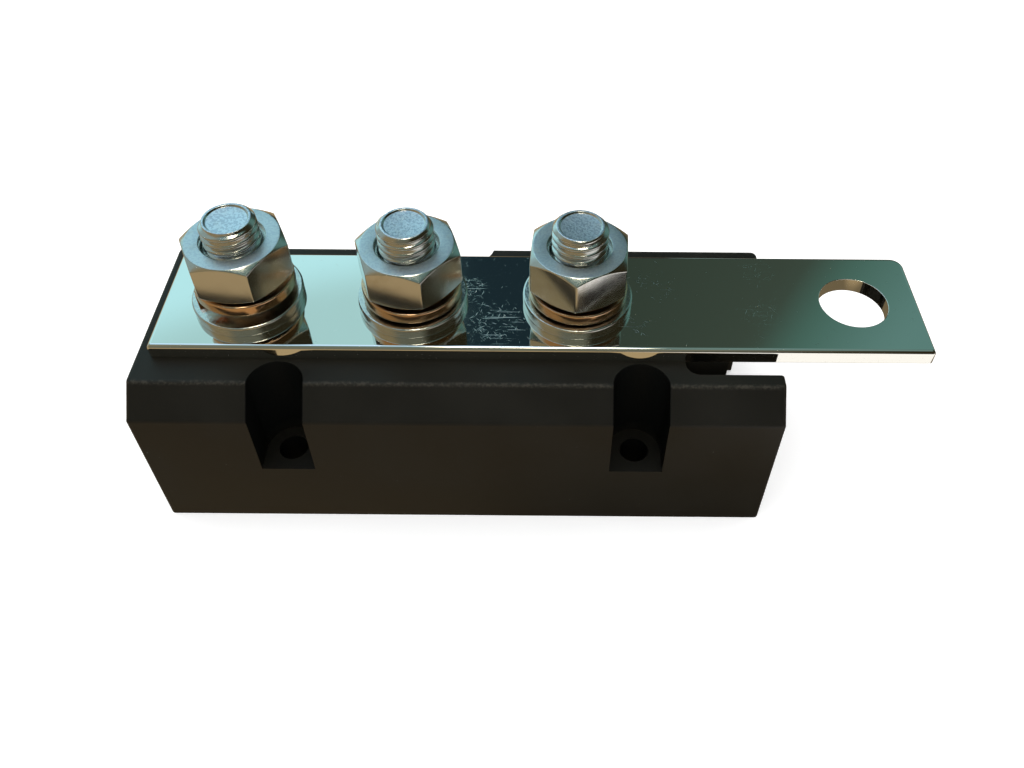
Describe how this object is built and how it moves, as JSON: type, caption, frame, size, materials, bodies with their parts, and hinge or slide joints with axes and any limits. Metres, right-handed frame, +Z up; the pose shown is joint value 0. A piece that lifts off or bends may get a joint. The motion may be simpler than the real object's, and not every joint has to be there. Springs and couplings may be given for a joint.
{
  "type": "insulated busbar",
  "caption": "Insulated power busbar: plated link bar with clamping studs, washers and nuts on a black moulded base, one bar end reaching out to a terminal hole",
  "frame": {"origin": "On the plane of the base's underside, midway along the overall length (base and overhanging bar) and midway across the bar, which is the middle of the base's depth.", "axes": "+X runs along the bar towards its free end with the terminal hole; +Y runs from the side with two mounting pockets to the side with one; +Z points up along the studs."},
  "size_m": [0.1436, 0.0464, 0.0563],
  "materials": {
    "base_plastic": "satin black moulded plastic, faint speckle",
    "bar_plating": "mirror-bright nickel-tin plated copper with fine scratches",
    "plate_insulation": "plain matte",
    "stud_zinc": "bright zinc plate, blue passivated",
    "flat_washer_zinc": "bright zinc plate",
    "spring_washer_zinc": "zinc plated spring steel",
    "nut_zinc": "bright zinc plate, blue passivated",
    "screw_zinc": "zinc plated"
  },
  "bodies": {
    "base": {"base_moulding": "base_plastic", "link_bar": "bar_plating", "stud_bolt_1": "stud_zinc", "stud_bolt_2": "stud_zinc", "stud_bolt_3": "stud_zinc", "head_retainer_plate": "plate_insulation", "plate_screw_1": "screw_zinc", "plate_screw_2": "screw_zinc", "plate_screw_3": "screw_zinc", "plate_screw_4": "screw_zinc"},
    "washers_1": {"flat_washer_1": "flat_washer_zinc", "spring_washer_1": "spring_washer_zinc"},
    "nut_1": {"hex_nut_1": "nut_zinc"},
    "washers_2": {"flat_washer_2": "flat_washer_zinc", "spring_washer_2": "spring_washer_zinc"},
    "nut_2": {"hex_nut_2": "nut_zinc"},
    "washers_3": {"flat_washer_3": "flat_washer_zinc", "spring_washer_3": "spring_washer_zinc"},
    "nut_3": {"hex_nut_3": "nut_zinc"}
  },
  "joints": [
    {"name": "stack_lift_1", "type": "slide", "parent": "base", "child": "washers_1", "axis": [0, 0, 1], "range_m": [0, 0.0105]},
    {"name": "nut_turn_1", "type": "hinge", "parent": "washers_1", "child": "nut_1", "pos_m": [-0.05295, 0, 0.0393], "axis": [0, 0, 1], "range_deg": [0, 2520]},
    {"name": "stack_lift_2", "type": "slide", "parent": "base", "child": "washers_2", "axis": [0, 0, 1], "range_m": [0, 0.0105]},
    {"name": "nut_turn_2", "type": "hinge", "parent": "washers_2", "child": "nut_2", "pos_m": [-0.02245, 0, 0.0393], "axis": [0, 0, 1], "range_deg": [0, 2520]},
    {"name": "stack_lift_3", "type": "slide", "parent": "base", "child": "washers_3", "axis": [0, 0, 1], "range_m": [0, 0.0105]},
    {"name": "nut_turn_3", "type": "hinge", "parent": "washers_3", "child": "nut_3", "pos_m": [0.00805, 0, 0.0393], "axis": [0, 0, 1], "range_deg": [0, 2520]}
  ],
  "couplings": [
    {"joint": "stack_lift_1", "follows": "nut_turn_1", "m_per_rad": 0.00023873},
    {"joint": "stack_lift_2", "follows": "nut_turn_2", "m_per_rad": 0.00023873},
    {"joint": "stack_lift_3", "follows": "nut_turn_3", "m_per_rad": 0.00023873}
  ]
}
